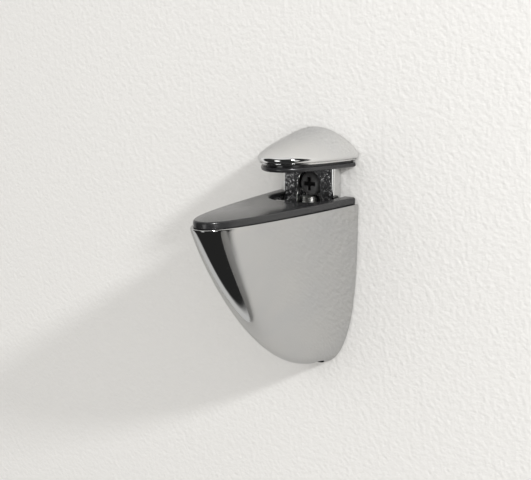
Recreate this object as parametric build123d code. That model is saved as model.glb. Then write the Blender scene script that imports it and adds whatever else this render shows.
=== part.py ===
from build123d import *
import os

# Clamping shelf bracket, in millimetres. The wall is the plane Y = 0, the bracket stands out
# along -Y, and Z = 0 is the shelf seat: the top of the lower pad. A casting with a low dome
# and a flat stem is screwed to the wall. A hollow beak-shaped casting slides up and down on
# that stem, drawn by a long clamp screw, and the shelf is gripped between their two pads.

# Driving dimensions
body_half_width = 16.2      # lower casting, at the wall
body_depth = 64.0           # from the wall to the tip of the beak
body_height = 56.3          # lower casting alone
body_wall = 2.2             # thickness of its side walls
front_wall_share = 1.3      # its front wall, in side walls
top_plate = 2.4             # thickness of its flat top
cavity_floor_share = 0.93   # how far down the height the hollow reaches
screw_rise = 3.7            # wall screw's axis above the shelf seat
mouth = 10.0                # gap between the pads as fitted
lower_pad_thick = 2.2
upper_pad_thick = 2.3
pad_inset = 1.2             # metal rim left showing round each pad

jaw_half_width = 16.2       # dome of the upper casting, at the wall
jaw_depth = 27.6
jaw_rim = 1.6               # height of the rounded rim under the dome
jaw_rim_inset = 1.3         # how far the rim draws in at its foot
jaw_rise = 8.3              # height of the dome above its widest line

stem_half_width = 9.8
stem_thick = 5.0
tongue_front = 9.5          # front face of the thicker lower stem, from the wall
tongue_back = 2.6           # back face of its two wings, from the wall
tongue_below_seat = 4.4     # top of the thicker lower stem, below the shelf seat
tongue_length = 27.0
recess_floor = 2.2          # metal left behind the wall screw's head
recess_gap = 0.8            # round the wall screw's head

wall_head_radius = 3.9
wall_head_height = 2.4
wall_shank_radius = 2.0
wall_shank_length = 30.0    # under the head, with the point
wall_neck_radius = 1.8      # plain neck where it passes through the stem
wall_point_length = 5.0
wall_point_radius = 0.2
wall_hole_gap = 0.25
cross_span = 4.6            # cross recess, tip to tip
cross_blade = 1.0
cross_depth = 1.7

clamp_axis = 4.0            # clamp screw's axis, from the wall
clamp_radius = 2.5
clamp_head_radius = 3.7
clamp_head_height = 3.4
clamp_tip_gap = 0.7         # clamp screw's end, under the wall screw's head
hex_flat = 4.0
hex_depth = 2.2
thread_clearance = 0.05     # screw in its bore, on the radius
slot_gap = 0.3              # clamp screw in the ledge's slot, on the radius
driver_hole_radius = 2.9

slide_gap = 0.3             # stem in the lower casting's guides
guide_thick = 2.0
guide_length = 36.0
lip_half_gap = 5.9          # half the gap between the two back lips
ledge_thick = 2.4
head_play = 0.1             # clamp head under its ledge
clamp_floor_gap = 0.2       # clamp head over the hollow's floor
opening_front = 17.0        # front edge of the opening in the top plate, from the wall
opening_round = 6.0
pad_opening_step = 1.5      # the lower pad's opening is this much wider all round
peg_radius = 1.5
peg_length = 1.6
peg_gap = 0.05
peg_places = (26.0, 46.0)   # pegs under the lower pad, from the wall
upper_peg_place = 17.0      # peg on the upper pad, from the wall
cut_through = 1.0           # how far a cutting solid runs past the face it opens
join_depth = 0.5            # how far a moulded peg reaches into its pad
blind_gap = 0.2             # past the end of a peg or screw in a blind hole
pad_notch_gap = 0.1         # upper pad round the stem
stem_round = 0.8            # front corners of the stem
lower_pad_round = 0.6
upper_pad_round = 0.7
clamp_head_round = 0.4
clamp_tip_chamfer = 0.6
crown_share = 0.7           # part of the wall screw's head height that is crowned
ledge_front = 4.0           # ledge beyond the clamp screw's head
guide_drop = 1.0            # top of the guides, below the top of the tongue

# Shape of the castings: how full the outline is in plan and how the size falls with height
beak_fullness_top = 2.5
beak_fullness_bottom = 1.8
beak_width_law = (3.1, 2.75)
beak_depth_law = (1.15, 1.8)
dome_fullness = 2.35
dome_width_law = (1.35, 1.8)
dome_depth_law = (1.67, 0.84)

# Levels worked out from the driving dimensions
body_top_z = -lower_pad_thick
body_bottom_z = body_top_z - body_height
jaw_z = mouth + upper_pad_thick
cavity_floor_z = body_top_z - cavity_floor_share * body_height
clamp_head_z = cavity_floor_z + clamp_floor_gap
clamp_head_top_z = clamp_head_z + clamp_head_height
clamp_tip_z = screw_rise - wall_head_radius - clamp_tip_gap
ledge_z = clamp_head_top_z + head_play
tongue_top_z = -tongue_below_seat
tongue_bottom_z = tongue_top_z - tongue_length
guide_top_z = tongue_top_z - guide_drop


def law(share, powers):
    """Size left at a share of the height: (1 - share^a)^(1/b)."""
    return (1 - share ** powers[0]) ** (1 / powers[1])


def plan_outline(half_width, depth, fullness, z, behind=0.0):
    """Closed beak outline: y = -depth (1 - |x / half_width|^fullness), shut along the wall."""
    steps = 16
    shares = [2 * i / steps - 1 for i in range(steps + 1)]
    points = [(half_width * u, -depth * (1 - abs(u) ** fullness), z) for u in shares]
    curve = Spline(*points)
    if behind > 0:
        back = Polyline(points[-1], (half_width, behind, z), (-half_width, behind, z), points[0])
    else:
        back = Line(points[-1], points[0])
    return make_face(curve + back)


def beak_section(share, inset=0.0, behind=0.0):
    """Section of the lower casting at a share of its height below the top."""
    half_width = body_half_width * law(share, beak_width_law) - inset
    depth = body_depth * law(share, beak_depth_law) - inset * front_wall_share
    fullness = beak_fullness_top + (beak_fullness_bottom - beak_fullness_top) * share
    return plan_outline(half_width, depth, fullness, body_top_z - share * body_height, behind)


def beak_solid():
    shares = [0, 0.12, 0.26, 0.42, 0.58, 0.72, 0.83, 0.90, 0.95, 0.98, 0.992]
    return loft([beak_section(s) for s in shares])


def beak_cavity():
    """Hollow of the lower casting, open to the wall, under the top plate."""
    first = top_plate / body_height
    steps = 7
    shares = [first + (cavity_floor_share - first) * (1 - (1 - i / steps) ** 1.5) for i in range(steps + 1)]
    return loft([beak_section(s, inset=body_wall, behind=cut_through) for s in shares])


def box_between(x0, x1, y0, y1, z0, z1):
    """Box from its corners, with y counted from the wall towards the room."""
    box = Box(x1 - x0, y1 - y0, z1 - z0)
    return Pos((x0 + x1) / 2, -(y0 + y1) / 2, (z0 + z1) / 2) * box


def column(radius, y, z0, z1):
    """Upright cylinder on the centre plane."""
    return Pos(0, -y, (z0 + z1) / 2) * Cylinder(radius, z1 - z0)


def bar(radius, z, y0, y1):
    """Level cylinder square to the wall, on the centre plane."""
    return Pos(0, -(y0 + y1) / 2, z) * Rot(90, 0, 0) * Cylinder(radius, y1 - y0)


def both_sides(solid):
    return solid + mirror(solid, about=Plane.YZ)


def stem_opening(half_width, front, corner, z0, z1):
    """Opening for the stem, with round front corners, open to the wall."""
    block = box_between(-half_width, half_width, -cut_through, front, z0, z1)
    corners = block.edges().filter_by(Axis.Z).sort_by(Axis.Y)[:2]
    return fillet(corners, corner)


def guides():
    """Rails in the hollow: two lips behind the stem's wings and two ribs in front of them."""
    z0 = guide_top_z - guide_length
    side = body_half_width
    lip = box_between(lip_half_gap, side, 0, tongue_back - slide_gap, z0, guide_top_z)
    rib_back = tongue_front + slide_gap
    rib = box_between(stem_half_width - guide_thick, side, rib_back, rib_back + guide_thick, z0, guide_top_z)
    wing = stem_half_width + slide_gap
    cheek = box_between(wing, side, 0, rib_back + guide_thick, z0, guide_top_z)
    return both_sides(lip + rib + cheek)


def screw_ledge():
    """Cross wall over the clamp screw's head, slotted to the back so the screw drops in."""
    front = clamp_axis + clamp_head_radius + ledge_front
    ledge = box_between(-body_half_width, body_half_width, 0, front, ledge_z, ledge_z + ledge_thick)
    radius = clamp_radius + slot_gap
    z0 = ledge_z - cut_through
    z1 = ledge_z + ledge_thick + cut_through
    slot = box_between(-radius, radius, -cut_through, clamp_axis, z0, z1)
    return ledge - slot - column(radius, clamp_axis, z0, z1)


def make_lower_body():
    beak = beak_solid()
    rails = (guides() + screw_ledge()) & beak
    body = beak - beak_cavity() + rails
    above = body_top_z + cut_through
    body -= stem_opening(stem_half_width + slide_gap, opening_front, opening_round,
                         body_top_z - top_plate - cut_through, above)
    body -= column(driver_hole_radius, clamp_axis, body_bottom_z - cut_through, clamp_head_z)
    for place in peg_places:
        body -= column(peg_radius + peg_gap, place, body_top_z - peg_length - blind_gap, above)
    return body


def make_lower_pad():
    """Flat soft pad on the lower casting, with two moulded pegs underneath."""
    outline = plan_outline(body_half_width - pad_inset, body_depth - pad_inset, beak_fullness_top, body_top_z)
    pad = extrude(outline, lower_pad_thick, dir=(0, 0, 1))
    step = pad_opening_step
    pad -= stem_opening(stem_half_width + slide_gap + step, opening_front + step, opening_round + step,
                        body_top_z - cut_through, cut_through)
    pad = fillet(pad.faces().sort_by(Axis.Z)[-1].outer_wire().edges(), lower_pad_round)
    for place in peg_places:
        pad += column(peg_radius, place, body_top_z - peg_length, body_top_z + join_depth)
    return pad


def make_upper_jaw():
    """Dome, stem, screw recess and the thicker tongue that takes the clamp screw's thread."""
    sections = []
    for share in (0, 0.25, 0.6, 1):
        inset = jaw_rim_inset * (1 - share) ** 2
        z = jaw_z + share * jaw_rim
        sections.append(plan_outline(jaw_half_width - inset, jaw_depth - inset, dome_fullness, z))
    for share in (0.15, 0.32, 0.5, 0.66, 0.8, 0.9, 0.97):
        half_width = jaw_half_width * law(share, dome_width_law)
        depth = jaw_depth * law(share, dome_depth_law)
        z = jaw_z + jaw_rim + share * jaw_rise
        sections.append(plan_outline(half_width, depth, dome_fullness, z))
    dome = loft(sections)
    stem = box_between(-stem_half_width, stem_half_width, 0, stem_thick, tongue_top_z, jaw_z + jaw_rim)
    stem = fillet(stem.edges().filter_by(Axis.Z).sort_by(Axis.Y)[:2], stem_round)
    wings = box_between(-stem_half_width, stem_half_width, tongue_back, tongue_front,
                        tongue_bottom_z, tongue_top_z)
    core_half_width = lip_half_gap - slide_gap
    core = box_between(-core_half_width, core_half_width, 0, tongue_front, tongue_bottom_z, tongue_top_z)
    jaw = dome + stem + wings + core

    recess_radius = wall_head_radius + recess_gap
    clear_front = stem_thick + cut_through
    jaw -= bar(recess_radius, screw_rise, recess_floor, clear_front)
    jaw -= box_between(-recess_radius, recess_radius, recess_floor, clear_front, tongue_top_z, screw_rise)
    jaw -= bar(wall_shank_radius + wall_hole_gap, screw_rise, -cut_through, stem_thick)
    jaw -= column(clamp_radius + thread_clearance, clamp_axis, tongue_bottom_z - cut_through,
                  clamp_tip_z + blind_gap)
    jaw -= column(peg_radius + peg_gap, upper_peg_place, jaw_z - cut_through, jaw_z + peg_length + blind_gap)
    return jaw


def make_upper_pad():
    """Soft pad under the dome, notched round the stem, with one moulded peg on top."""
    outline = plan_outline(jaw_half_width - pad_inset, jaw_depth - pad_inset, dome_fullness, mouth)
    pad = extrude(outline, upper_pad_thick, dir=(0, 0, 1))
    pad = fillet(pad.faces().sort_by(Axis.Z)[0].outer_wire().edges(), upper_pad_round)
    pad -= stem_opening(stem_half_width + pad_notch_gap, stem_thick + pad_notch_gap, stem_round,
                        mouth - cut_through, jaw_z + cut_through)
    pad += column(peg_radius, upper_peg_place, jaw_z - join_depth, jaw_z + peg_length)
    return pad


def make_wall_screw():
    """Pan head with a cross recess, on a plain shank with a point."""
    under = recess_floor
    top = under + wall_head_height
    head = bar(wall_head_radius, screw_rise, under, top)
    crown = head.edges().filter_by(GeomType.CIRCLE).sort_by(Axis.Y)[0]
    head = fillet(crown, wall_head_height * crown_share)
    neck = bar(wall_neck_radius, screw_rise, 0, under)
    end_y = wall_shank_length - under
    shank = bar(wall_shank_radius, screw_rise, wall_point_length - end_y, 0)
    cone = Cone(wall_shank_radius, wall_point_radius, wall_point_length)
    tip = Pos(0, end_y - wall_point_length / 2, screw_rise) * Rot(-90, 0, 0) * cone
    screw = head + neck + shank + tip
    for turn in (0, 90):
        blade = Box(cross_span, cross_depth * 2, cross_blade)
        screw -= Pos(0, -top, screw_rise) * Rot(0, turn, 0) * blade
    return screw


def make_clamp_screw():
    """Long cap screw: the head turns under the ledge, the thread draws the stem down."""
    head = column(clamp_head_radius, clamp_axis, clamp_head_z, clamp_head_top_z)
    head = fillet(head.edges().filter_by(GeomType.CIRCLE).sort_by(Axis.Z)[0], clamp_head_round)
    shank = column(clamp_radius, clamp_axis, clamp_head_top_z, clamp_tip_z)
    shank = chamfer(shank.edges().filter_by(GeomType.CIRCLE).sort_by(Axis.Z)[-1], clamp_tip_chamfer)
    socket = extrude(RegularPolygon(hex_flat / 2, 6, major_radius=False), hex_depth)
    return head + shank - Pos(0, -clamp_axis, clamp_head_z) * socket


os.makedirs("parts", exist_ok=True)
makers = {
    "upper_jaw": make_upper_jaw,
    "upper_pad": make_upper_pad,
    "lower_body": make_lower_body,
    "lower_pad": make_lower_pad,
    "wall_screw": make_wall_screw,
    "clamp_screw": make_clamp_screw,
}
for name, maker in makers.items():
    export_step(maker(), f"parts/{name}.step")
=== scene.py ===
import bpy
import math
import numpy as np
from mathutils import Matrix, Vector


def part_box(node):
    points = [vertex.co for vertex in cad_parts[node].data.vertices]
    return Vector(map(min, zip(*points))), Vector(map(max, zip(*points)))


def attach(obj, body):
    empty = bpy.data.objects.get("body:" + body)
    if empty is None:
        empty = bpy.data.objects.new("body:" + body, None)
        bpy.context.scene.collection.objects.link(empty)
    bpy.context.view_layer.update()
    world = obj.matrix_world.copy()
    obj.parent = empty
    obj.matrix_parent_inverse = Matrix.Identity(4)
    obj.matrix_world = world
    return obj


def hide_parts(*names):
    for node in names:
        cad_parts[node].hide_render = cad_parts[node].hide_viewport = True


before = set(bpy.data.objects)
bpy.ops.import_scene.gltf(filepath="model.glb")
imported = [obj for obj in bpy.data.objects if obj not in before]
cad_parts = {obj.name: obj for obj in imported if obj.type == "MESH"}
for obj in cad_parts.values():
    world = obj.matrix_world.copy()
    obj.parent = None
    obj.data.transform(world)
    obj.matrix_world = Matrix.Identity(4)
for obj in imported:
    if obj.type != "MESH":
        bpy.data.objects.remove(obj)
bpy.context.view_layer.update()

# ---- Upper casting ---------------------------------------------------------------------------
# A low dome over a flat stem, die-cast in zinc alloy as one piece, then chrome plated. The dome
# is buffed to a mirror; the stem keeps its as-cast grain under the same plating. The screw in
# its round recess holds it to the wall, and the clamp screw threads into its lower tongue.

MM = 0.001
casting_low, casting_high = (np.array(corner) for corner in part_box("upper_jaw"))
screw_low, screw_high = (np.array(corner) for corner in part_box("wall_screw"))
mouth_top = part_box("upper_pad")[0].z
screw_level = (screw_low[2] + screw_high[2]) / 2
head_radius = (screw_high[0] - screw_low[0]) / 2
upper_pad_thick = 2.3 * MM
dome_foot = mouth_top + upper_pad_thick
dome_fullness = 2.35
rim_height = 1.6 * MM
rim_inset = 1.3 * MM
bead_height = 0.42 * MM
bead_profile = MM * np.array([(1.0, 0.0), (0.66, 0.08), (0.55, 0.20),
                              (0.58, 0.32), (0.72, 0.42), (0.80, 0.46)])
dome_rise = 8.3 * MM
stem_half_width = 9.8 * MM
stem_thick = 5.0 * MM
stem_round = 0.8 * MM
tongue_top = -4.4 * MM
tongue_front = 9.5 * MM
tongue_back = 2.6 * MM
core_half_width = 5.6 * MM
recess_floor = 2.2 * MM
recess_radius = head_radius + 0.35 * MM
recess_round = 0.9 * MM
screw_hole_radius = 2.25 * MM
clamp_axis = 4.0 * MM
clamp_bore_radius = 2.55 * MM
clamp_bore_top = -0.2 * MM
skin = 0.01 * MM


def smooth(piece, sharp_degrees=35):
    """Smooth shading, with hard edges only where two faces meet at more than the angle."""
    mesh = piece.data
    mesh.polygons.foreach_set("use_smooth", np.ones(len(mesh.polygons), bool))
    mesh.set_sharp_from_angle(angle=math.radians(sharp_degrees))


def stacked_rings(name, rings, sharp_degrees=35):
    """Closed solid through a stack of closed rings (levels, points, 3) that run counter-clockwise
    seen from the last ring's side: quads join neighbouring rings, one face shuts each end."""
    levels, count = rings.shape[:2]
    ring = np.arange(count)
    after = np.roll(ring, -1)
    low = (np.arange(levels - 1) * count)[:, None]
    sides = np.stack([low + ring, low + after, low + count + after, low + count + ring], -1)
    faces = sides.reshape(-1, 4).tolist() + [ring[::-1].tolist(), (ring + (levels - 1) * count).tolist()]
    mesh = bpy.data.meshes.new(name)
    mesh.from_pydata(rings.reshape(-1, 3).tolist(), [], faces)
    piece = bpy.data.objects.new(name, mesh)
    bpy.context.scene.collection.objects.link(piece)
    smooth(piece, sharp_degrees)
    return piece


def carve(piece, cutter, operation="DIFFERENCE", sharp_degrees=35):
    """Cuts the cutter away from the piece, or joins it on, and removes the cutter."""
    modifier = piece.modifiers.new("carve", "BOOLEAN")
    modifier.operation = operation
    modifier.solver = "EXACT"
    modifier.object = cutter
    view = bpy.context.evaluated_depsgraph_get()
    carved = bpy.data.meshes.new_from_object(piece.evaluated_get(view))
    piece.modifiers.clear()
    piece.data = carved
    bpy.data.objects.remove(cutter)
    smooth(piece, sharp_degrees)


def beak_ring(half_width, depth, fullness, z, behind=0.0, steps=120):
    """Closed outline y = -depth (1 - |u|^fullness), x = half_width u, with u = sin(angle) so
    that points gather where the sides run back to the wall, then a straight run along it."""
    u = np.sin(np.linspace(-math.pi / 2, math.pi / 2, steps + 1))
    front = np.column_stack([half_width * u, -depth * (1 - np.abs(u) ** fullness)])
    back_x = np.linspace(half_width, -half_width, 9)
    back_x = back_x if behind > 0 else back_x[1:-1]
    outline = np.concatenate([front, np.column_stack([back_x, np.full(len(back_x), behind)])])
    return np.column_stack([outline, np.full(len(outline), z)])


def dome_size(share):
    """Half width and depth at a share of the dome's rise: the width falls as (1 - s^1.35)^(1/1.8)
    and the depth as (1 - 1.006 e)^(1/0.84), with e = s^3.67 / (s^2 + 0.006)."""
    half_width = casting_high[0] * (1 - share ** 1.35) ** (1 / 1.8)
    depth = -casting_low[1] * (1 - share ** 3.67 / (share ** 2 + 0.006) * 1.006) ** (1 / 0.84)
    return half_width, depth


def dome_solid():
    """Fine bead from its insets and rises, a quarter-round rim, then dome sections that lie
    closer together towards the top."""
    half_width, depth = casting_high[0], -casting_low[1]
    rings = []
    for inset, rise in bead_profile:
        rings.append(beak_ring(half_width - inset, depth - inset, dome_fullness, dome_foot + rise))
    for turn in np.linspace(0, math.pi / 2, 14)[3:]:
        inset = rim_inset * (1 - math.sin(turn))
        level = dome_foot + bead_height + (rim_height - bead_height) * (1 - math.cos(turn))
        rings.append(beak_ring(half_width - inset, depth - inset, dome_fullness, level))
    for share in 1 - (1 - np.linspace(0, 1, 72)[1:-1]) ** 2:
        level = dome_foot + rim_height + dome_rise * share
        rings.append(beak_ring(*dome_size(share), dome_fullness, level))
    return stacked_rings("upper_casting", np.array(rings), 60)


def rounded_post(name, x0, x1, y0, y1, levels, corner, corner_steps=6):
    """Upright block: a rectangle with four quarter-circle corners, repeated at each level."""
    outline = []
    turn = np.linspace(0, math.pi / 2, corner_steps + 1)
    middles = [(x1 - corner, y1 - corner), (x0 + corner, y1 - corner),
               (x0 + corner, y0 + corner), (x1 - corner, y0 + corner)]
    for quarter, (x, y) in enumerate(middles):
        angle = turn + quarter * math.pi / 2
        outline.append(np.column_stack([x + corner * np.cos(angle), y + corner * np.sin(angle)]))
    outline = np.concatenate(outline)
    rings = [np.column_stack([outline, np.full(len(outline), level)]) for level in levels]
    return stacked_rings(name, np.array(rings), 40)


def turned(name, radii, along, centre, axis="z", steps=64, sharp_degrees=35):
    """Closed solid round an axis: the radius, which may also change with the angle, at each
    distance along it. An axis of "z" stands up, and "y" points into the wall."""
    angle = np.linspace(0, 2 * math.pi, steps, endpoint=False)
    radius = np.array(radii, float)
    radius = radius[:, None] if radius.ndim == 1 else radius
    far = np.repeat(np.array(along, float)[:, None], steps, axis=1)
    if axis == "z":
        rings = np.stack([centre[0] + radius * np.cos(angle), centre[1] + radius * np.sin(angle), far], -1)
    else:
        rings = np.stack([centre[0] + radius * np.sin(angle), far, centre[1] + radius * np.cos(angle)], -1)
    return stacked_rings(name, rings, sharp_degrees)


def recess_cutter():
    """Round-topped slot that runs down the stem's front: a half circle over two straight sides.
    It widens along a quarter circle at the front, which rounds the recess's edge."""
    angle = np.linspace(0, math.pi, 33)
    turn = np.linspace(0, math.pi / 2, 9)
    edge = -stem_thick + recess_round * (1 - np.sin(turn))
    depths = np.concatenate([[-recess_floor], edge, [-stem_thick - MM]])
    radii = recess_radius + recess_round * np.concatenate([[0], 1 - np.cos(turn), [1]])
    rings = []
    for y, radius in zip(depths, radii):
        x = np.append(radius * np.cos(angle), [-radius, radius])
        z = np.append(screw_level + radius * np.sin(angle), [tongue_top - skin, tongue_top - skin])
        rings.append(np.column_stack([x, np.full(len(x), y), z]))
    return stacked_rings("recess_cutter", np.array(rings))


def node(tree, kind, settings=None, **sockets):
    """Adds a shader node, sets its options, then its sockets: a value is set, an output is linked."""
    made = tree.nodes.new(kind)
    for option, value in (settings or {}).items():
        setattr(made, option, value)
    for socket, value in sockets.items():
        target = made.inputs[socket.replace("_", " ")]
        if isinstance(value, bpy.types.NodeSocket):
            tree.links.new(value, target)
        else:
            target.default_value = value
    return made


def surface(name, **sockets):
    """New material with one Principled shader; gives the material, its tree and the shader."""
    material = bpy.data.materials.new(name)
    material.use_nodes = True
    tree = material.node_tree
    shader = tree.nodes["Principled BSDF"]
    for socket, value in sockets.items():
        shader.inputs[socket.replace("_", " ")].default_value = value
    return material, tree, shader


def ranged(tree, value, low, high):
    """Turns a 0 to 1 pattern into one that runs from low to high."""
    return node(tree, "ShaderNodeMapRange", To_Min=low, To_Max=high, Value=value).outputs["Result"]


def noise(tree, size, detail=2.0, roughness=0.5):
    """Smooth random pattern on the object's own coordinates, with blotches about this size."""
    place = node(tree, "ShaderNodeTexCoord").outputs["Object"]
    return node(tree, "ShaderNodeTexNoise", Vector=place, Scale=1 / size, Detail=detail,
                Roughness=roughness).outputs["Fac"]


def soft_step(tree, value, start, end, low=0.0, high=1.0):
    """Eases from low to high while the value passes from start to end."""
    return node(tree, "ShaderNodeMapRange", {"interpolation_type": "SMOOTHSTEP"}, Value=value,
                From_Min=start, From_Max=end, To_Min=low, To_Max=high).outputs["Result"]


def blend(tree, pattern, first, second):
    """Colour that runs from the first to the second as the pattern goes from 0 to 1."""
    mix = node(tree, "ShaderNodeMix", {"data_type": "RGBA"}, Factor=pattern)
    mix.inputs["A"].default_value = (*first, 1)
    mix.inputs["B"].default_value = (*second, 1)
    return mix.outputs["Result"]


def bump(tree, pattern, strength, depth, under=None):
    """Fine relief of a pattern, laid over an earlier relief if one is given."""
    relief = node(tree, "ShaderNodeBump", Strength=strength, Distance=depth, Height=pattern)
    if under:
        tree.links.new(under, relief.inputs["Normal"])
    return relief.outputs["Normal"]


def link(tree, shader, **outputs):
    """Joins each output to the shader's socket of that name."""
    for socket, output in outputs.items():
        tree.links.new(output, shader.inputs[socket.replace("_", " ")])


def mirror_chrome(name, brightness):
    """Buffed chrome: near-mirror, with a faint waviness from polishing and soft wiping marks."""
    material, tree, shader = surface(name, Metallic=1.0, Specular_Tint=(0.7, 0.7, 0.7, 1))
    # The brightness scales the colour for each part. The dome's higher value is painted light that stands in
    # for brighter reflections.
    cool, warm = np.array((0.94, 0.95, 0.97)) * brightness, np.array((1.06, 1.05, 1.02)) * brightness
    peel = bump(tree, noise(tree, 1.1 * MM, 1), 0.12, 0.02 * MM)
    link(tree, shader,
         Base_Color=blend(tree, noise(tree, 14 * MM, 3), cool, warm),
         Roughness=ranged(tree, noise(tree, 3 * MM, 4), 0.035, 0.08),
         Normal=bump(tree, noise(tree, 7 * MM, 1), 0.15, 0.08 * MM, peel))
    return material


def cast_chrome_painted_shade_glints():
    """As-cast skin under the same plating, pitted and granular; painted dark as shade, with painted glints.
    """
    material, tree, shader = surface("cast_chrome_painted_shade_glints", Metallic=1.0)
    # White specks painted into the colour as glints, over a base darkened as painted shade.
    painted_glints = soft_step(tree, noise(tree, 0.8 * MM, 3), 0.50, 0.66)
    link(tree, shader,
         Base_Color=blend(tree, painted_glints, (0.16, 0.16, 0.165), (0.95, 0.95, 0.95)),
         Roughness=ranged(tree, noise(tree, 0.5 * MM, 3), 0.14, 0.28),
         Normal=bump(tree, noise(tree, 0.9 * MM, 4, 0.6), 1.0, 0.5 * MM))
    return material


def face_values(piece, what):
    """Every face's "center" or "normal", as one array."""
    values = np.zeros(len(piece.data.polygons) * 3)
    piece.data.polygons.foreach_get(what, values)
    return values.reshape(-1, 3)


upper_casting = dome_solid()
stem = rounded_post("stem", -stem_half_width, stem_half_width, -stem_thick, -skin,
                    (tongue_top, dome_foot + rim_height), stem_round)
carve(upper_casting, stem, "UNION")
tongue = rounded_post("tongue", -stem_half_width, stem_half_width, -tongue_front, -tongue_back,
                      (casting_low[2], tongue_top + skin), stem_round)
carve(upper_casting, tongue, "UNION")
core = rounded_post("core", -core_half_width, core_half_width, -tongue_front + MM, -2 * skin,
                    (casting_low[2] + skin, tongue_top + 2 * skin), stem_round / 2)
carve(upper_casting, core, "UNION")
carve(upper_casting, recess_cutter())
screw_hole = turned("screw_hole", [screw_hole_radius] * 2, [-stem_thick, MM], (0, screw_level), "y")
carve(upper_casting, screw_hole)
clamp_bore = turned("clamp_bore", [clamp_bore_radius] * 2, [casting_low[2] - MM, clamp_bore_top],
                    (0, -clamp_axis))
carve(upper_casting, clamp_bore)
shaded_cast_chrome = cast_chrome_painted_shade_glints()
# The dome's chrome is painted brighter than the beak's (0.75 against 0.54) as painted reflection.
upper_casting.data.materials.append(mirror_chrome("mirror_chrome_dome_painted_bright", 0.75))
upper_casting.data.materials.append(shaded_cast_chrome)
# The stem's front faces and all of the tongue get the as-cast chrome, painted dark as shade with painted
# glints; the stem's rounded sides keep the mirror.
centres, normals = face_values(upper_casting, "center"), face_values(upper_casting, "normal")
on_stem = centres[:, 2] < dome_foot - skin
outside_face = (np.abs(centres[:, 0]) > stem_half_width - stem_round) & (np.abs(normals[:, 0]) > 0.2)
cast_grain_shaded = on_stem & ~outside_face & ((centres[:, 2] < tongue_top) | (np.abs(normals[:, 1]) > 0.7))
upper_casting.data.polygons.foreach_set("material_index", cast_grain_shaded.astype(np.int32))
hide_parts("upper_jaw")
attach(upper_casting, "wall_part")

# ---- Upper pad -------------------------------------------------------------------------------
# Soft dark grey plastic, injection moulded, with rounded edges and a notch that fits round the
# stem. It lies under the dome, and one moulded peg holds it there.

pad_inset = 1.2 * MM
notch_gap = 0.1 * MM
pad_edge = 0.7 * MM
pad_top_edge = 0.6 * MM
pad_neck = 0.8 * MM
pad_neck_inset = 1.1 * MM
peg_radius = 1.5 * MM
peg_length = 1.6 * MM
upper_peg_place = 17.0 * MM


def pad_outline(sizes, inset, steps=140):
    """Beak outline with a round-cornered notch from the wall, as one counter-clockwise loop,
    with every edge but the one at the wall drawn in by the inset."""
    half_width, depth, fullness, notch_half, notch_deep, notch_round = sizes
    u = np.sin(np.linspace(-math.pi / 2, math.pi / 2, steps + 1))
    front = np.column_stack([(half_width - inset) * u, -(depth - inset) * (1 - np.abs(u) ** fullness)])
    turn = np.linspace(0, math.pi / 2, 13)
    x = notch_half - notch_round + (notch_round + inset) * np.cos(turn)
    y = -(notch_deep - notch_round + (notch_round + inset) * np.sin(turn))
    right = np.concatenate([[[notch_half + inset, 0.0]], np.column_stack([x, y])])
    return np.concatenate([front, right, right[::-1] * (-1, 1)])


def pad_solid(name, sizes, low, high, low_edge, high_edge, neck=0.0, neck_inset=0.0):
    """The outline stacked into a slab whose edges are quarter rounds. A neck is a drawn-in step
    above the slab."""
    turn = np.linspace(0, math.pi / 2, 7)
    insets = np.concatenate([low_edge * (1 - np.sin(turn)), high_edge * (1 - np.cos(turn))])
    levels = np.concatenate([low + low_edge * (1 - np.cos(turn)), high - high_edge * (1 - np.sin(turn))])
    if neck:
        insets = np.append(insets, [neck_inset, neck_inset])
        levels = np.append(levels, [high + skin, high + neck])
    rings = []
    for inset, level in zip(insets, levels):
        outline = pad_outline(sizes, inset)
        rings.append(np.column_stack([outline, np.full(len(outline), level)]))
    return stacked_rings(name, np.array(rings), 50)


def pad_plastic():
    """Soft plastic from a finely sparked mould: satin, with a low grain and faint handling marks."""
    material, tree, shader = surface("pad_plastic", Specular_IOR_Level=0.5, IOR=1.5)
    link(tree, shader,
         Base_Color=blend(tree, noise(tree, 5 * MM, 4), (0.018, 0.018, 0.019), (0.028, 0.028, 0.029)),
         Roughness=ranged(tree, noise(tree, 2 * MM, 5), 0.17, 0.27),
         Normal=bump(tree, noise(tree, 0.22 * MM, 2), 0.25, 0.02 * MM))
    return material


upper_pad = pad_solid(
    "upper_pad_moulding",
    (casting_high[0] - pad_inset, -casting_low[1] - pad_inset, dome_fullness,
     stem_half_width + notch_gap, stem_thick + notch_gap, stem_round),
    mouth_top, dome_foot - skin - pad_neck, pad_edge, pad_top_edge, pad_neck, pad_neck_inset)
peg = turned("peg", [peg_radius] * 2, [dome_foot - 2 * pad_top_edge, dome_foot + peg_length],
             (0, -upper_peg_place))
carve(upper_pad, peg, "UNION", 50)
soft_plastic = pad_plastic()
upper_pad.data.materials.append(soft_plastic)
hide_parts("upper_pad")
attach(upper_pad, "wall_part")

# ---- Wall screw ------------------------------------------------------------------------------
# Blackened steel pan-head screw, cold headed and rolled, with a cross recess. Its head bears on
# the floor of the stem's recess, and its coarse thread goes into a plug in the wall.

wall_head_height = 2.4 * MM
wall_head_edge = 0.12 * MM
crown_height = 0.72 * wall_head_height
wall_neck_radius = 1.8 * MM
wall_thread_radius = 2.0 * MM
wall_core_radius = 1.35 * MM
wall_pitch = 1.9 * MM
wall_point_length = 5.0 * MM
wall_point_radius = 0.2 * MM
cross_span = 5.4 * MM
cross_blade = 1.5 * MM
cross_depth = 1.7 * MM
cross_overrun = 0.3 * MM


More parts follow.
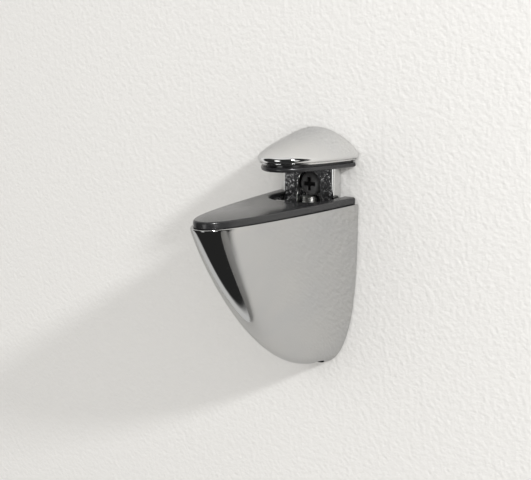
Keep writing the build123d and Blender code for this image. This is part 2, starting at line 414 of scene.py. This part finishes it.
def wall_screw_solid(steps=48):
    """Crowned head whose radius grows as sin(angle)^0.72, plain neck, then a thread: a ridge that
    climbs one pitch for each turn on a core, both drawn to a point over the last stretch."""
    angle = np.linspace(0, 2 * math.pi, steps, endpoint=False)
    front = -recess_floor - wall_head_height
    crown = np.linspace(0, math.pi / 2, 16)[1:]
    crown_y = front + crown_height * (1 - np.cos(crown))
    head_y = np.concatenate([crown_y, [-recess_floor - wall_head_edge, -recess_floor]])
    crown_r = head_radius * np.sin(crown) ** 0.72
    head_r = np.concatenate([crown_r, [head_radius, head_radius - wall_head_edge]])
    neck_y = np.array([-recess_floor, -recess_floor + 0.3 * MM, 0.0])
    neck_r = np.array([wall_neck_radius + 0.25 * MM, wall_neck_radius, wall_neck_radius])
    thread_y = np.arange(0.02 * MM, screw_high[1], wall_pitch / 16)
    taper = np.clip((screw_high[1] - thread_y) / wall_point_length, 0, 1)
    run_in = np.clip(thread_y / wall_pitch, 0, 1)
    phase = np.mod(thread_y[:, None] / wall_pitch - angle / (2 * math.pi), 1)
    ridge = np.clip(1 - np.abs(phase - 0.5) / 0.2, 0, 1)
    core = wall_point_radius + (wall_core_radius - wall_point_radius) * taper
    crest = (wall_thread_radius - wall_core_radius) * np.clip(taper * 2.5, 0, 1) * run_in
    thread_r = core[:, None] + crest[:, None] * ridge
    plain = np.concatenate([head_r, neck_r])[:, None] * np.ones(steps)
    return turned("wall_screw_threaded", np.concatenate([plain, thread_r]),
                  np.concatenate([head_y, neck_y, thread_y]), (0, screw_level), "y", steps, 40)


def cross_cutter():
    """Cross with four equal arms that narrows as it goes in, as a stack of twelve-cornered rings."""
    top = -recess_floor - wall_head_height
    rings = []
    for share in (0.0, 0.5, 1.0):
        reach = cross_span / 2 * (1 - 0.40 * share)
        half = cross_blade / 2 * (1 - 0.20 * share)
        corners = []
        for quarter in range(4):
            c, s = math.cos(quarter * math.pi / 2), math.sin(quarter * math.pi / 2)
            points = np.array([(half, -half), (reach, -half), (reach, half)])
            corners.append(points @ np.array([[c, s], [-s, c]]))
        flat = np.concatenate(corners)
        level = top - cross_overrun + (cross_depth + cross_overrun) * share
        rings.append(np.column_stack([flat[:, 0], np.full(12, level), screw_level + flat[:, 1]]))
    return stacked_rings("cross_cutter", np.array(rings)[:, ::-1])


def black_steel():
    """Blackened steel, oiled: dark grey with a fine grain, a little bare metal on its high spots."""
    material, tree, shader = surface("black_steel", Metallic=0.35)
    link(tree, shader,
         Base_Color=blend(tree, noise(tree, 1.2 * MM, 5), (0.085, 0.085, 0.085), (0.16, 0.16, 0.158)),
         Roughness=ranged(tree, noise(tree, 0.6 * MM, 4), 0.30, 0.50),
         Normal=bump(tree, noise(tree, 0.3 * MM, 3), 0.3, 0.03 * MM))
    return material


def painted_shade_cross():
    """Painted shade in the cross recess: almost black and dull."""
    material, tree, shader = surface("painted_shade_cross", Metallic=0.1)
    link(tree, shader,
         Base_Color=blend(tree, noise(tree, 0.8 * MM, 4), (0.004, 0.004, 0.004), (0.014, 0.014, 0.013)),
         Roughness=ranged(tree, noise(tree, 0.6 * MM, 4), 0.5, 0.7),
         Normal=bump(tree, noise(tree, 0.3 * MM, 3), 0.4, 0.03 * MM))
    return material


wall_screw = wall_screw_solid()
carve(wall_screw, cross_cutter(), sharp_degrees=40)
wall_screw.data.materials.append(black_steel())
wall_screw.data.materials.append(painted_shade_cross())
centres = face_values(wall_screw, "center")
off_axis = np.hypot(centres[:, 0], centres[:, 2] - screw_level)
sunk = centres[:, 1] + recess_floor + wall_head_height
in_cross = (sunk > 0.5 * MM) & (sunk < cross_depth + skin) & (off_axis < cross_span / 2 + 0.05 * MM)
# The cross recess's faces get the painted shade.
wall_screw.data.polygons.foreach_set("material_index", in_cross.astype(np.int32))
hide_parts("wall_screw")
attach(wall_screw, "wall_part")

# ---- Lower casting ---------------------------------------------------------------------------
# A hollow half beak, die-cast in zinc alloy, buffed and chrome plated outside. Its back is open
# to the wall. Inside, two pairs of rails guide the stem's tongue and a slotted ledge holds the
# clamp screw's head. The flat top has an opening for the stem.

beak_low, beak_high = (np.array(corner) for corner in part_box("lower_body"))
beak_height = 56.3 * MM
beak_lip = 0.5 * MM
side_wall = 2.2 * MM
front_wall = side_wall * 1.3
top_plate = 2.4 * MM
floor_share = 0.93
slide_gap = 0.3 * MM
lip_half_gap = 5.9 * MM
guide_thick = 2.0 * MM
guide_top = tongue_top - MM
guide_bottom = guide_top - 36 * MM
opening_front = 12.4 * MM
opening_round = 3.0 * MM
land_gap = 0.8 * MM
land_front = 18.8 * MM
land_round = 9.3 * MM
land_rise = 1.0 * MM
pad_fit = 0.1 * MM
hole_mouth_half_width = 6.0 * MM
hole_mouth_half_depth = 3.6 * MM
hole_mouth_top = -55.5 * MM
driver_hole_radius = 2.9 * MM
clamp_low, clamp_high = (np.array(corner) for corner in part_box("clamp_screw"))
clamp_head_height = 3.4 * MM
head_play = 0.1 * MM
ledge_bottom = clamp_low[2] + clamp_head_height + head_play
ledge_thick = 2.4 * MM
ledge_front = 11.7 * MM
slot_radius = 2.8 * MM
lower_peg_places = (26.0 * MM, 46.0 * MM)
peg_clearance = 0.05 * MM
peg_hole_spare = 0.2 * MM


def beak_size(share):
    """Half width, depth and fullness of the beak at a share of its height below the top: the
    width falls as (1 - s^3.1)^(1/2.75), the depth as (1 - s^1.15)^(1/1.8), and the fullness
    evenly from 2.5 to 1.8."""
    half_width = beak_high[0] * (1 - share ** 3.1) ** (1 / 2.75)
    depth = -beak_low[1] * (1 - share ** 1.15) ** (1 / 1.8)
    return half_width, depth, 2.5 - 0.7 * share


def beak_solid():
    """Beak sections from the bottom up, closer together where it rounds off, and a small
    quarter round at the top lip."""
    rings = []
    for share in 1 - np.linspace(0.0, 1, 110)[1:] ** 2.2:
        half_width, depth, fullness = beak_size(share)
        level = beak_high[2] - share * beak_height
        if level < beak_high[2] - beak_lip:
            rings.append(beak_ring(half_width, depth, fullness, level))
    for turn in np.linspace(0, math.pi / 2, 7):
        half_width, depth, fullness = beak_size(beak_lip * (1 - math.sin(turn)) / beak_height)
        inset = beak_lip * (1 - math.cos(turn))
        level = beak_high[2] - beak_lip * (1 - math.sin(turn))
        rings.append(beak_ring(half_width - inset, depth - inset, fullness, level))
    return stacked_rings("lower_casting", np.array(rings), 60)


def beak_hollow():
    """Space inside the walls, from the floor up to the top plate, run past the open back."""
    rings = []
    for share in np.linspace(floor_share, top_plate / beak_height, 40):
        half_width, depth, fullness = beak_size(share)
        level = beak_high[2] - share * beak_height
        rings.append(beak_ring(half_width - side_wall, depth - front_wall, fullness, level, behind=MM))
    return stacked_rings("hollow", np.array(rings), 60)


def block(name, x0, x1, y0, y1, z0, z1):
    """Plain block with softened upright corners, from distances out from the wall."""
    return rounded_post(name, x0, x1, -y1, -y0, (z0, z1), 0.25 * MM, 3)


def stem_opening(half_width, front, corner, z0, z1, behind=MM):
    """Slab with the plan of the stem's opening: straight sides and two round front corners."""
    turn = np.linspace(0, math.pi / 2, 17)
    x = half_width - corner + corner * np.cos(turn)
    y = -(front - corner + corner * np.sin(turn))
    right = np.concatenate([[[half_width, behind]], np.column_stack([x, y])])
    outline = np.concatenate([right, right[::-1] * (-1, 1)])[::-1]
    rings = [np.column_stack([outline, np.full(len(outline), level)]) for level in (z0, z1)]
    return stacked_rings("stem_opening", np.array(rings), 40)


def painted_shade_hole():
    """Painted shade for the driver hole's mouth: dull and almost black."""
    material, tree, shader = surface("painted_shade_hole", Metallic=0.5)
    link(tree, shader,
         Base_Color=blend(tree, noise(tree, 1 * MM, 4), (0.012, 0.012, 0.012), (0.035, 0.035, 0.034)),
         Roughness=ranged(tree, noise(tree, 0.6 * MM, 4), 0.55, 0.75),
         Normal=bump(tree, noise(tree, 0.4 * MM, 3), 0.4, 0.05 * MM))
    return material


lower_casting = beak_solid()
hollow = beak_hollow()
rib_back = tongue_front + slide_gap
for side in (-1, 1):
    spans = [(lip_half_gap, skin, tongue_back - slide_gap),
             (stem_half_width - guide_thick, rib_back, rib_back + guide_thick),
             (stem_half_width + slide_gap, skin, rib_back + guide_thick)]
    for start, near, far in spans:
        x0, x1 = sorted((side * start, side * (beak_high[0] + MM)))
        carve(hollow, block("rail", x0, x1, near, far, guide_bottom, guide_top))
ledge_top = ledge_bottom + ledge_thick
ledge = block("ledge", -beak_high[0], beak_high[0], skin, ledge_front, ledge_bottom, ledge_top)
slot_levels = (ledge_bottom - MM, ledge_top + MM)
carve(ledge, block("slot", -slot_radius, slot_radius, -2 * MM, clamp_axis, *slot_levels))
carve(ledge, turned("slot_end", [slot_radius] * 2, slot_levels, (0, -clamp_axis)))
carve(hollow, ledge)
carve(lower_casting, hollow, sharp_degrees=40)
land = stem_opening(stem_half_width + land_gap - pad_fit, land_front - pad_fit, land_round - pad_fit,
                    beak_high[2] - top_plate / 2, beak_high[2] + land_rise, -skin)
carve(lower_casting, land, "UNION", 40)
floor_level = beak_high[2] - floor_share * beak_height
under_beak = beak_low[2] - 2 * MM
hole_mouth = turned("hole_mouth", [hole_mouth_half_width] * 2, [under_beak, hole_mouth_top], (0, 0))
hole_mouth.data.transform(Matrix.Diagonal((1, hole_mouth_half_depth / hole_mouth_half_width, 1, 1)))
hole_mouth.data.transform(Matrix.Translation((0, -clamp_axis, 0)))
peg_hole_levels = [beak_high[2] - peg_length - peg_hole_spare, beak_high[2] + MM]
cutters = [stem_opening(stem_half_width + slide_gap, opening_front, opening_round,
                        beak_high[2] - top_plate - MM, beak_high[2] + 3 * MM),
           turned("driver_hole", [driver_hole_radius] * 2, [under_beak, floor_level + MM], (0, -clamp_axis)),
           hole_mouth]
for place in lower_peg_places:
    cutters.append(turned("peg_hole", [peg_radius + peg_clearance] * 2, peg_hole_levels, (0, -place)))
for cutter in cutters:
    carve(lower_casting, cutter, sharp_degrees=40)
for finish in (mirror_chrome("mirror_chrome_beak", 0.54), shaded_cast_chrome, painted_shade_hole()):
    lower_casting.data.materials.append(finish)
centres, normals = face_values(lower_casting, "center"), face_values(lower_casting, "normal")
half_width, depth, fullness = beak_size(np.clip((beak_high[2] - centres[:, 2]) / beak_height, 0, 0.999))
reach = np.clip(np.abs(centres[:, 0]) / half_width, 0, 1)
inside = centres[:, 1] > -(depth - front_wall * 0.6) * (1 - reach ** fullness) + 0.4 * MM
outer = (np.abs(centres[:, 0]) > half_width - side_wall * 0.5) & (normals[:, 1] < 0.5)
top_face = centres[:, 2] > beak_high[2] - beak_lip - skin
# Inner faces get the as-cast chrome, whose dark colour is painted shade.
cast_inside_shaded = inside & ~outer & ~top_face & (centres[:, 2] > floor_level - MM)
sideways = centres[:, 0] / hole_mouth_half_width
outward = (centres[:, 1] + clamp_axis) / hole_mouth_half_depth
between_ends = (centres[:, 2] > beak_low[2] + skin) & (centres[:, 2] < floor_level - skin)
in_mouth = (sideways ** 2 + outward ** 2 < 1.02) & between_ends
# Faces in the driver hole's mouth get the painted shade.
finish_index = np.where(in_mouth, 2, cast_inside_shaded).astype(np.int32)
lower_casting.data.polygons.foreach_set("material_index", finish_index)
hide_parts("lower_body")
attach(lower_casting, "lower_part")

# ---- Lower pad -------------------------------------------------------------------------------
# The same soft plastic, moulded flat with a rounded upper edge. Two pegs hold it on the lower
# casting, and its opening is a step wider than the one in the metal below.

seat_low, seat_high = (np.array(corner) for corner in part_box("lower_pad"))
seat_edge = 0.7 * MM
seat_foot_edge = 0.3 * MM

lower_pad = pad_solid(
    "lower_pad_moulding",
    (seat_high[0], -seat_low[1], beak_size(0.0)[2], stem_half_width + land_gap, land_front, land_round),
    beak_high[2] + skin, seat_high[2], seat_foot_edge, seat_edge)
for place in lower_peg_places:
    peg_levels = [beak_high[2] - peg_length, beak_high[2] + MM]
    carve(lower_pad, turned("peg", [peg_radius] * 2, peg_levels, (0, -place)), "UNION", 50)
lower_pad.data.materials.append(soft_plastic)
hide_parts("lower_pad")
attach(lower_pad, "lower_part")

# ---- Clamp screw -----------------------------------------------------------------------------
# Zinc plated steel cap screw with a hexagon socket and a fine rolled thread. Its head turns
# under the lower casting's ledge, and its thread draws the two castings together.

clamp_head_radius = (clamp_high[0] - clamp_low[0]) / 2
clamp_radius = 2.5 * MM
clamp_root_radius = 2.06 * MM
clamp_pitch = 0.8 * MM
clamp_chamfer = 0.35 * MM
clamp_tip_rise = 0.5 * MM
clamp_tip = clamp_high[2] + clamp_tip_rise
hex_flat = 4.0 * MM
hex_depth = 2.2 * MM


def clamp_screw_solid(steps=40):
    """Round head with softened edges, then a thread: a wave that climbs one pitch each turn
    between the root and the crest, cut down at the tip by a chamfer."""
    angle = np.linspace(0, 2 * math.pi, steps, endpoint=False)
    head_top = clamp_low[2] + clamp_head_height
    head_z = clamp_low[2] + np.array([0, 0.1 * MM, 0.4 * MM, clamp_head_height - 0.1 * MM, clamp_head_height])
    head_r = clamp_head_radius - np.array([0.4 * MM, 0.12 * MM, 0, 0, 0.1 * MM])
    thread_z = np.linspace(head_top, clamp_tip, int((clamp_tip - head_top) / clamp_pitch * 9))
    phase = np.mod(thread_z[:, None] / clamp_pitch - angle / (2 * math.pi), 1)
    wave = np.clip(1.25 - 2.5 * np.abs(phase - 0.5), 0, 1)
    run_out = np.clip((thread_z - head_top) / (2 * clamp_pitch), 0, 1)[:, None]
    thread_r = clamp_radius - (clamp_radius - clamp_root_radius) * (1 - wave) * run_out
    limit = clamp_radius - clamp_chamfer + (clamp_tip - thread_z)[:, None]
    thread_r = np.minimum(thread_r, limit)
    plain = head_r[:, None] * np.ones(steps)
    return turned("clamp_screw_threaded", np.concatenate([plain, thread_r]),
                  np.concatenate([head_z, thread_z]), (0, -clamp_axis), "z", steps, 50)


def zinc_plate():
    """Bright zinc on steel: satin, slightly uneven in tone."""
    material, tree, shader = surface("zinc_plate", Metallic=1.0)
    link(tree, shader,
         Base_Color=blend(tree, noise(tree, 2 * MM, 4), (0.55, 0.55, 0.53), (0.70, 0.70, 0.68)),
         Roughness=ranged(tree, noise(tree, 0.8 * MM, 4), 0.26, 0.42),
         Normal=bump(tree, noise(tree, 0.4 * MM, 2), 0.2, 0.02 * MM))
    return material


clamp_screw = clamp_screw_solid()
socket = turned("socket", [hex_flat / math.sqrt(3)] * 2, [clamp_low[2] - MM, clamp_low[2] + hex_depth],
                (0, -clamp_axis), steps=6)
carve(clamp_screw, socket, sharp_degrees=50)
clamp_screw.data.materials.append(zinc_plate())
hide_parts("clamp_screw")
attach(clamp_screw, "clamp_screw_body")

# ---- Wall, floor and light -------------------------------------------------------------------
# A white wall behind the bracket and a pale floor below it. The wall is seen only from its
# front and left open where the bracket covers it, so the bracket's back can be seen and is lit.
# A soft lamp stands high on the right, close to the wall, and the room in front is dim.

wall_gap = 0.4 * MM
room = 4.0
floor_drop = -0.90
opening_margin = 2.4 * MM
slide_travel = 14.0 * MM
dark_from_x = (0.16, 0.30)
dark_above_z = (-0.20, -0.12)
key_lamp_place = (0.62, -0.257, 0.365)
key_lamp_size = 0.075
key_lamp_power = 3.9


def stage_sheet(name, cells, material):
    """Flat stage piece made of separate cells, each given by its four corners."""
    mesh = bpy.data.meshes.new(name)
    mesh.from_pydata([corner for cell in cells for corner in cell], [],
                     [tuple(range(4 * index, 4 * index + 4)) for index in range(len(cells))])
    sheet = bpy.data.objects.new(name, mesh)
    bpy.context.scene.collection.objects.link(sheet)
    mesh.materials.append(material)


def combined(tree, operation, first, second):
    """Two values joined by one arithmetic operation."""
    made = node(tree, "ShaderNodeMath", {"operation": operation})
    tree.links.new(first, made.inputs[0])
    tree.links.new(second, made.inputs[1])
    return made.outputs["Value"]


def one_of(tree, choice, at_zero, at_one):
    """The first shader where the choice is 0 and the second where it is 1."""
    made = node(tree, "ShaderNodeMixShader", Fac=choice)
    tree.links.new(at_zero.outputs[0], made.inputs[1])
    tree.links.new(at_one.outputs[0], made.inputs[2])
    return made


def wall_paint():
    """White paint with a rolled, orange-peel surface, clear from behind. Far to the right its
    reflection is dark, as the unlit part of the room is."""
    material, tree, shader = surface("wall_paint", Roughness=0.62, Specular_IOR_Level=0.0)
    place = node(tree, "ShaderNodeSeparateXYZ", Vector=node(tree, "ShaderNodeTexCoord").outputs["Object"])
    far_right = soft_step(tree, place.outputs["X"], *dark_from_x)
    not_low = soft_step(tree, place.outputs["Z"], *dark_above_z, low=0.6)
    mirrored = node(tree, "ShaderNodeLightPath").outputs["Is Glossy Ray"]
    dark = combined(tree, "MULTIPLY", combined(tree, "MULTIPLY", far_right, not_low), mirrored)
    link(tree, shader,
         Base_Color=blend(tree, dark, (0.83, 0.82, 0.80), (0.04, 0.04, 0.04)),
         Normal=bump(tree, noise(tree, 1.55 * MM, 3), 1.0, 0.30 * MM))
    behind = node(tree, "ShaderNodeNewGeometry").outputs["Backfacing"]
    seen = one_of(tree, behind, shader, node(tree, "ShaderNodeBsdfTransparent"))
    tree.links.new(seen.outputs["Shader"], tree.nodes["Material Output"].inputs["Surface"])
    return material


def floor_paint():
    """Pale matt floor that reflections look through, into the dim room."""
    material, tree, shader = surface("floor_paint", Base_Color=(0.80, 0.79, 0.77, 1), Roughness=0.7)
    mirrored = node(tree, "ShaderNodeLightPath").outputs["Is Glossy Ray"]
    seen = one_of(tree, mirrored, shader, node(tree, "ShaderNodeBsdfTransparent"))
    tree.links.new(seen.outputs["Shader"], tree.nodes["Material Output"].inputs["Surface"])
    return material


def wall_opening():
    """Heights of the opening behind the bracket, and its half width at each: a margin inside
    the beak, which covers it wherever it slides, then inside the stem and the dome."""
    heights, half_widths = [-room, beak_high[2] - 0.9 * beak_height], [0.0, 0.0]
    for share in np.linspace(0.9, (slide_travel + opening_margin) / beak_height, 14):
        heights.append(beak_high[2] - share * beak_height)
        half_widths.append(beak_size(share)[0] - opening_margin)
    stem_side = stem_half_width - opening_margin / 3
    heights += [heights[-1], dome_foot + bead_height]
    half_widths += [stem_side, stem_side]
    for share in np.linspace(0.02, 0.7, 10):
        heights.append(dome_foot + rim_height + dome_rise * share)
        half_widths.append(dome_size(share)[0] - opening_margin)
    return heights + [heights[-1], room], half_widths + [0.0, 0.0]


wall_cells = []
heights, half_widths = wall_opening()
for z0, z1, half0, half1 in zip(heights, heights[1:], half_widths, half_widths[1:]):
    if z1 > z0:
        left = [(-room, z0), (-half0, z0), (-half1, z1), (-room, z1)]
        right = [(half0, z0), (room, z0), (room, z1), (half1, z1)]
        wall_cells += [[(x, wall_gap, z) for x, z in side] for side in (left, right)]
stage_sheet("wall", wall_cells, wall_paint())
floor_corners = [(x, y, floor_drop) for x, y in ((-room, -room), (room, -room), (room, room), (-room, room))]
stage_sheet("floor", [floor_corners], floor_paint())

lamp = bpy.data.lights.new("key_lamp", "AREA")
lamp.shape = "DISK"
lamp.size = key_lamp_size
lamp.energy = key_lamp_power
key_lamp = bpy.data.objects.new("key_lamp", lamp)
bpy.context.scene.collection.objects.link(key_lamp)
key_lamp.location = key_lamp_place
key_lamp.rotation_euler = (-Vector(key_lamp_place)).to_track_quat("-Z", "Y").to_euler()

world = bpy.data.worlds.new("room_light")
bpy.context.scene.world = world
world.use_nodes = True
sky = world.node_tree
direction = node(sky, "ShaderNodeTexCoord").outputs["Generated"]


def nearness(toward):
    """How nearly a ray goes the given way: the product of the two directions."""
    made = node(sky, "ShaderNodeVectorMath", {"operation": "DOT_PRODUCT"})
    sky.links.new(direction, made.inputs[0])
    made.inputs[1].default_value = toward
    return made.outputs["Value"]


def round_window(toward, reach_degrees, strength):
    """Bright round patch in one direction, soft at its edge, that only reflections show."""
    outer = math.cos(math.radians(reach_degrees * 1.15))
    inner = math.cos(math.radians(reach_degrees * 0.85))
    return soft_step(sky, nearness(Vector(toward).normalized()), outer, inner, high=strength)


# Reflections see a dim room in front, a bright one overhead and towards the wall, and two windows.
room_seen = soft_step(sky, nearness((-0.35, 1.0, 0.0)), -0.18, -0.06, 0.03, 0.84)
upward = node(sky, "ShaderNodeSeparateXYZ", Vector=direction).outputs["Z"]
for patch in (soft_step(sky, upward, 0.70, 0.90, high=0.9),
              round_window((0.12, -0.98, -0.12), 15, 2.0),
              round_window((0.95, -0.25, -0.12), 6, 2.5)):
    room_seen = combined(sky, "MAXIMUM", room_seen, patch)
path = node(sky, "ShaderNodeLightPath")
fill = node(sky, "ShaderNodeBackground", Color=(1.0, 0.995, 0.985, 1), Strength=0.88)
reflected = node(sky, "ShaderNodeBackground", Color=(1.0, 1.0, 0.985, 1), Strength=room_seen)
pale = node(sky, "ShaderNodeBackground", Color=(0.86, 0.85, 0.82, 1), Strength=1.0)
lit = one_of(sky, path.outputs["Is Glossy Ray"], fill, reflected)
seen = one_of(sky, path.outputs["Is Camera Ray"], lit, pale)
sky.links.new(seen.outputs["Shader"], sky.nodes["World Output"].inputs["Surface"])

# ---- Camera ----------------------------------------------------------------------------------
# A fairly long lens looks from the right and a little above, close to the bracket, with the
# whole of it and its shadow on the wall in view.

view_azimuth = math.radians(34.98)
view_height = math.radians(11.71)
view_distance = 0.3744
aim = np.array([-0.0206, 0.0, -0.0184])
from_aim = np.array([math.sin(view_azimuth) * math.cos(view_height),
                     -math.cos(view_azimuth) * math.cos(view_height), math.sin(view_height)])
camera_data = bpy.data.cameras.new("camera")
camera_data.sensor_width = 36.0
camera_data.lens = 73.03
camera_data.clip_start = 0.01
camera = bpy.data.objects.new("camera", camera_data)
bpy.context.scene.collection.objects.link(camera)
camera.location = aim + from_aim * view_distance
camera.rotation_euler = Vector(-from_aim).to_track_quat("-Z", "Y").to_euler()
bpy.context.scene.camera = camera
bpy.context.scene.view_settings.view_transform = "Standard"
